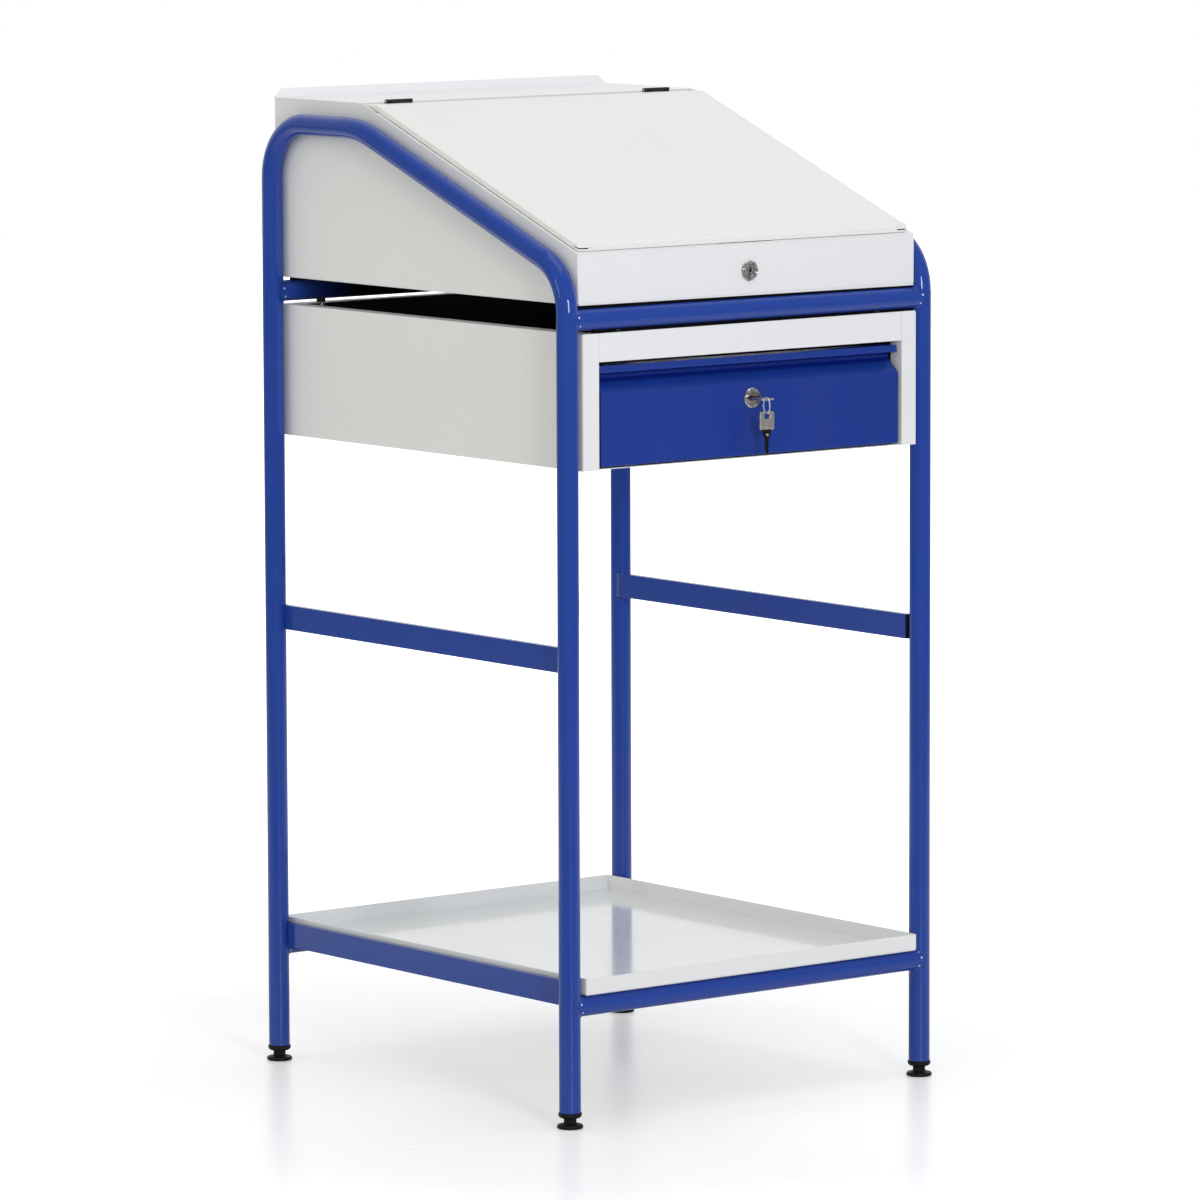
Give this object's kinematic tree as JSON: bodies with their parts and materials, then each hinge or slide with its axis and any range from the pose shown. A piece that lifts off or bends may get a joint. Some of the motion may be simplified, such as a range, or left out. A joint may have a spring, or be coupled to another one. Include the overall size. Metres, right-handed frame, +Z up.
{
  "type": "clerks standing desk",
  "caption": "Standing desk on a blue bent-tube frame, with a sloping hinged lid box, a lockable drawer cabinet under it and a low tray shelf.",
  "frame": {"origin": "on the floor, at the middle of the whole part's outline seen from above", "axes": "+Z up, the front with the drawer and lid lock faces -Y, X runs across the front"},
  "size_m": [0.555, 0.6273, 1.1628],
  "materials": {
    "frame_blue": "gloss blue enamel",
    "tray_white": "gloss white-grey enamel",
    "black_plastic": "moulded black",
    "box_grey": "satin light grey powder paint",
    "lid_grey": "satin light grey powder paint",
    "hinge_black": "black painted steel",
    "plated_steel": "zinc or nickel plated",
    "lock_chrome": "chrome plated",
    "drawer_blue": "gloss blue enamel",
    "drawer_grey": "satin grey paint"
  },
  "bodies": {
    "frame": {"side_loop_left": "frame_blue", "side_loop_right": "frame_blue", "upper_cross_rail_front": "frame_blue", "upper_cross_rail_rear": "frame_blue", "lower_cross_rail_front": "frame_blue", "lower_cross_rail_rear": "frame_blue", "mid_side_rail_left": "frame_blue", "mid_side_rail_right": "frame_blue", "lower_side_rail_left": "frame_blue", "lower_side_rail_right": "frame_blue", "tray_shelf": "tray_white", "leg_caps": "black_plastic", "desk_box_shell": "box_grey", "desk_box_rim": "box_grey", "desk_box_top": "box_grey", "cabinet_side_left": "box_grey", "cabinet_side_right": "box_grey", "cabinet_back": "box_grey", "cabinet_bottom": "box_grey", "cabinet_front_rail": "box_grey", "hinge_fixed_left": "hinge_black", "hinge_fixed_right": "hinge_black", "cabinet_spacers": "hinge_black", "hinge_pins": "plated_steel", "lid_lock_nut": "plated_steel", "box_screws": "plated_steel", "cabinet_screws": "plated_steel", "runner_support_left": "plated_steel", "runner_support_right": "plated_steel", "runner_fixed_left": "plated_steel", "runner_fixed_right": "plated_steel", "lid_lock_housing": "lock_chrome"},
    "lid": {"lid": "lid_grey", "lid_stiffener": "lid_grey", "lid_strike": "lid_grey", "hinge_moving_left": "hinge_black", "hinge_moving_right": "hinge_black"},
    "lid_lock": {"lid_lock_plug": "lock_chrome", "lid_lock_cam": "plated_steel"},
    "drawer": {"drawer_front": "drawer_blue", "drawer_tray": "drawer_grey", "drawer_back": "drawer_grey", "runner_moving_left": "plated_steel", "runner_moving_right": "plated_steel", "drawer_lock_housing": "lock_chrome", "drawer_lock_nut": "plated_steel"},
    "runner_middle_left": {"runner_middle_left": "plated_steel"},
    "runner_middle_right": {"runner_middle_right": "plated_steel"},
    "drawer_lock": {"drawer_lock_plug": "lock_chrome", "drawer_lock_cam": "plated_steel", "drawer_key_bow": "plated_steel", "drawer_key_blade": "black_plastic"},
    "key_ring": {"key_ring": "plated_steel"},
    "spare_key": {"spare_key_bow": "plated_steel", "spare_key_blade": "black_plastic"},
    "foot_front_left": {"levelling_foot_front_left": "black_plastic"},
    "foot_front_right": {"levelling_foot_front_right": "black_plastic"},
    "foot_rear_left": {"levelling_foot_rear_left": "black_plastic"},
    "foot_rear_right": {"levelling_foot_rear_right": "black_plastic"}
  },
  "joints": [
    {"name": "lid_hinge", "type": "hinge", "parent": "frame", "child": "lid", "pos_m": [0, 0.14064, 1.153], "axis": [-1, 0, 0], "range_deg": [0, 115]},
    {"name": "lid_lock_turn", "type": "hinge", "parent": "frame", "child": "lid_lock", "pos_m": [0, -0.27046, 0.968], "axis": [0, 1, 0], "range_deg": [0, 90]},
    {"name": "drawer_slide", "type": "slide", "parent": "frame", "child": "drawer", "axis": [0, -1, 0], "range_m": [0, 0.4]},
    {"name": "runner_slide_left", "type": "slide", "parent": "frame", "child": "runner_middle_left", "axis": [0, -1, 0], "range_m": [0, 0.2]},
    {"name": "runner_slide_right", "type": "slide", "parent": "frame", "child": "runner_middle_right", "axis": [0, -1, 0], "range_m": [0, 0.2]},
    {"name": "drawer_lock_turn", "type": "hinge", "parent": "drawer", "child": "drawer_lock", "pos_m": [0, -0.27466, 0.822], "axis": [0, -1, 0], "range_deg": [0, 90]},
    {"name": "key_ring_swing", "type": "hinge", "parent": "drawer_lock", "child": "key_ring", "pos_m": [-0.0017, -0.30366, 0.822], "axis": [-1, 0, 0], "range_deg": [0, 50]},
    {"name": "spare_key_swing", "type": "hinge", "parent": "key_ring", "child": "spare_key", "pos_m": [-0.0017, -0.30366, 0.80495], "axis": [0, 1, 0], "range_deg": [-35, 35]},
    {"name": "foot_turn_front_left", "type": "hinge", "parent": "frame", "child": "foot_front_left", "pos_m": [-0.2625, -0.26636, 0], "axis": [0, 0, 1], "continuous": true},
    {"name": "foot_turn_front_right", "type": "hinge", "parent": "frame", "child": "foot_front_right", "pos_m": [0.2625, -0.26636, 0], "axis": [0, 0, 1], "continuous": true},
    {"name": "foot_turn_rear_left", "type": "hinge", "parent": "frame", "child": "foot_rear_left", "pos_m": [-0.2625, 0.29864, 0], "axis": [0, 0, 1], "continuous": true},
    {"name": "foot_turn_rear_right", "type": "hinge", "parent": "frame", "child": "foot_rear_right", "pos_m": [0.2625, 0.29864, 0], "axis": [0, 0, 1], "continuous": true}
  ],
  "couplings": [
    {"joint": "runner_slide_left", "follows": "drawer_slide", "ratio": 0.5},
    {"joint": "runner_slide_right", "follows": "drawer_slide", "ratio": 0.5}
  ]
}
